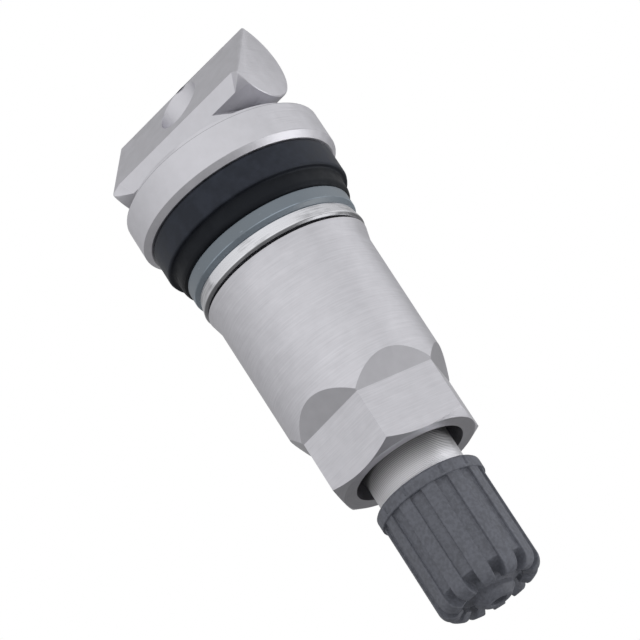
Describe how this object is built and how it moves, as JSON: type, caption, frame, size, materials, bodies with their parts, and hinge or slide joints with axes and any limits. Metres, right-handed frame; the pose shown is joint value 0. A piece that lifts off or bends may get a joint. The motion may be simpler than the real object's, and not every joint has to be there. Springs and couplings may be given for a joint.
{
  "type": "tyre pressure sensor valve stem",
  "caption": "Clamp-in aluminium valve stem for a tyre pressure sensor, with slanted head, rubber grommet, rings, long collar nut and ribbed cap",
  "frame": {"origin": "on the stem's axis, in the face of the flange that the rubber grommet sits on, where the stem is clamped in the rim", "axes": "+Z along the stem from the sensor head to the cap, X along the head's cross bar, the slanted sensor seat faces -Y and -Z"},
  "size_m": [0.0182, 0.0182, 0.0528],
  "materials": {
    "blasted_aluminium": "matt blasted",
    "turned_aluminium": "satin turned",
    "black_rubber": "satin",
    "grey_nylon": "satin",
    "bright_metal": "bright turned",
    "grey_plastic": "matt moulded",
    "nickel_brass": "satin plated",
    "seal_plastic": "smooth",
    "spring_steel": "drawn wire"
  },
  "bodies": {
    "stem": {"valve_stem": "blasted_aluminium", "rim_grommet": "black_rubber", "nylon_ring": "grey_nylon", "core_plug": "nickel_brass", "core_barrel": "nickel_brass", "barrel_gasket": "seal_plastic", "core_spring": "spring_steel"},
    "nut_washer": {"metal_washer": "bright_metal"},
    "nut": {"collar_nut": "turned_aluminium"},
    "cap_insert": {"cap_seal": "black_rubber"},
    "cap": {"cap_shell": "grey_plastic"},
    "pin": {"core_pin": "nickel_brass", "pin_cup": "nickel_brass", "cup_seal": "black_rubber"}
  },
  "joints": [
    {"name": "nut_travel", "type": "slide", "parent": "stem", "child": "nut_washer", "axis": [0, 0, 1], "range_m": [0, 0.00238]},
    {"name": "nut_turn", "type": "hinge", "parent": "nut_washer", "child": "nut", "pos_m": [0, 0, 0.017], "axis": [0, 0, 1], "range_deg": [0, 1080.1]},
    {"name": "cap_travel", "type": "slide", "parent": "stem", "child": "cap_insert", "axis": [0, 0, 1], "range_m": [0, 0.00715]},
    {"name": "cap_turn", "type": "hinge", "parent": "cap_insert", "child": "cap", "pos_m": [0, 0, 0.034], "axis": [0, 0, 1], "range_deg": [0, 3240.1]},
    {"name": "pin_press", "type": "slide", "parent": "stem", "child": "pin", "axis": [0, 0, -1], "range_m": [0, 0.0012], "stiffness_N_per_m": 1500, "springref_m": -0.001, "deforming": ["core_spring"]}
  ],
  "couplings": [
    {"joint": "nut_turn", "follows": "nut_travel", "rad_per_m": 7913.3},
    {"joint": "cap_turn", "follows": "cap_travel", "rad_per_m": 7913.3}
  ]
}
